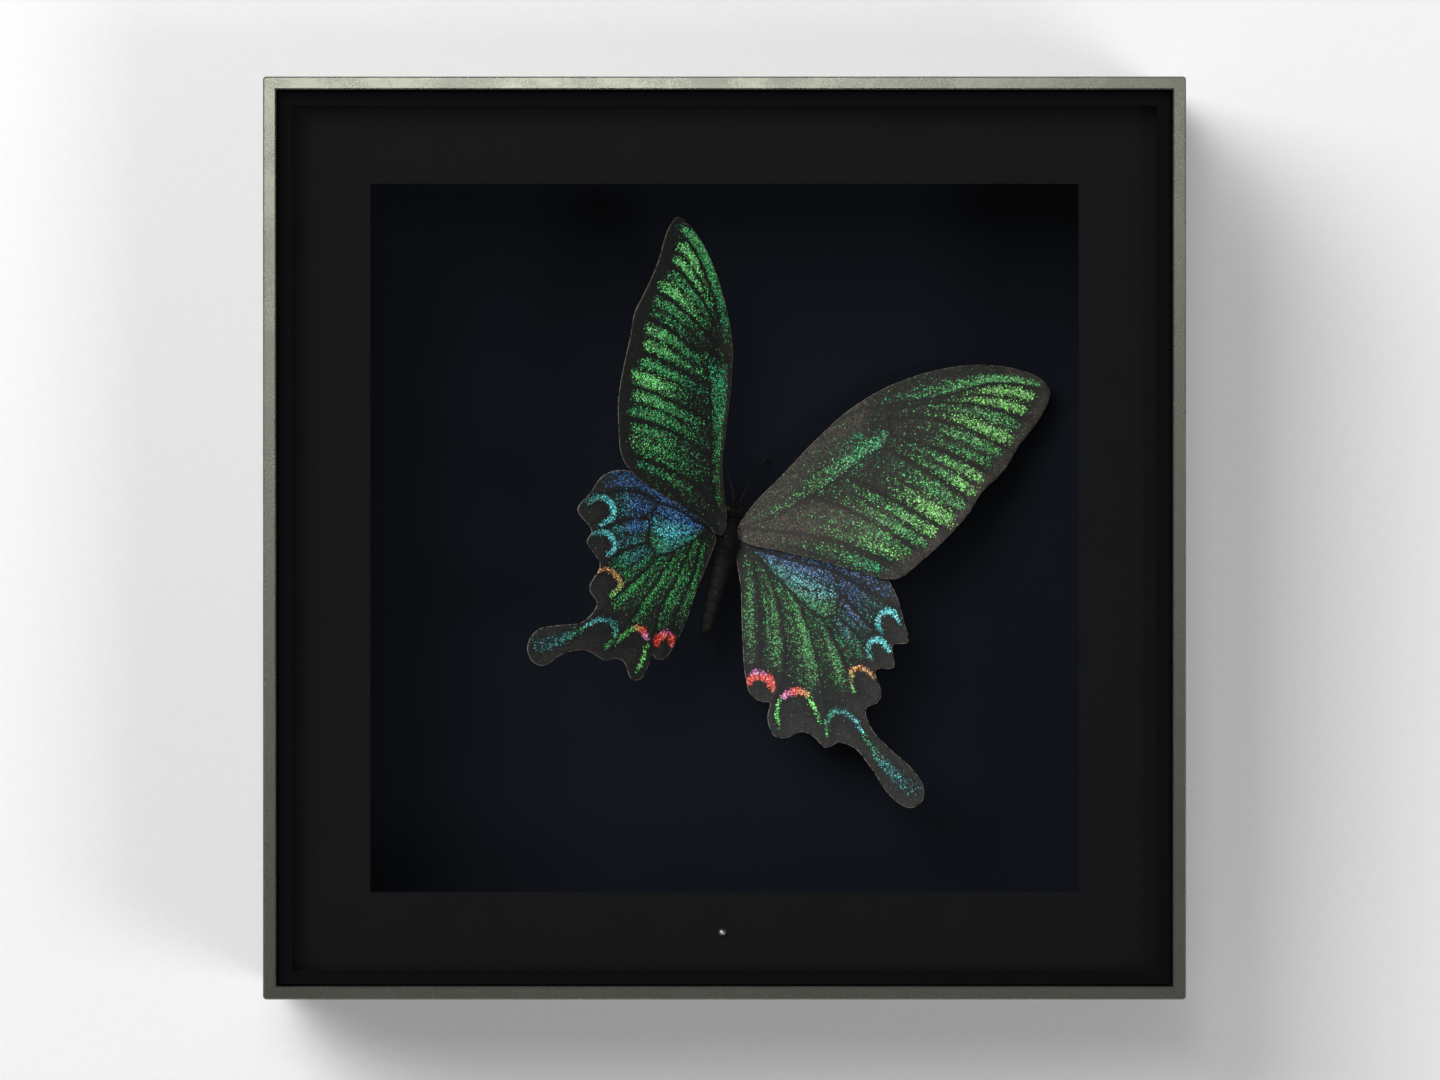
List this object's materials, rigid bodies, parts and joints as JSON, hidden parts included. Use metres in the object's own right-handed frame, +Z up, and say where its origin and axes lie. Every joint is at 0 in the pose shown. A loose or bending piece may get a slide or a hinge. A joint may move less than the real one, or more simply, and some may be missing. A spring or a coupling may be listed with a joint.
{
  "type": "framed butterfly specimen",
  "caption": "Swallowtail butterfly with green and blue wings on a short pin, inside a deep square metal box frame with a black liner, clear pane and charcoal mat.",
  "frame": {"origin": "centre of the flush back panel's outer face, in the plane that meets the wall", "axes": "+X right as seen from the front, +Z up, +Y into the wall, so the front faces -Y"},
  "size_m": [0.17, 0.056, 0.17],
  "materials": {
    "frame_metal": "satin gun-metal with a warm green cast and faint mottling",
    "liner_black": "matt black",
    "clear_pane": "clear",
    "mat_charcoal": "matt charcoal paper-faced board",
    "spacer_black": "matt black",
    "backing_navy": "matt navy-black cloth-faced board",
    "panel_board": "dark hardboard",
    "stud_metal": "polished dark steel",
    "body_fur": "black, hairy",
    "forewing_scales": "dark with glittering green scales",
    "hindwing_scales": "dark with blue and green scales and coloured crescents",
    "horn": "dark brown horn",
    "pin_steel": "bright steel"
  },
  "bodies": {
    "root": {"metal_frame": "frame_metal", "liner": "liner_black", "glazing": "clear_pane", "mat": "mat_charcoal", "mat_stud": "stud_metal", "top_spacer": "spacer_black", "bottom_spacer": "spacer_black", "left_spacer": "spacer_black", "right_spacer": "spacer_black", "backing_board": "backing_navy", "back_panel": "panel_board", "body": "body_fur", "left_forewing": "forewing_scales", "right_forewing": "forewing_scales", "left_hindwing": "hindwing_scales", "right_hindwing": "hindwing_scales", "left_antenna": "horn", "right_antenna": "horn", "mounting_pin": "pin_steel"}
  },
  "joints": []
}
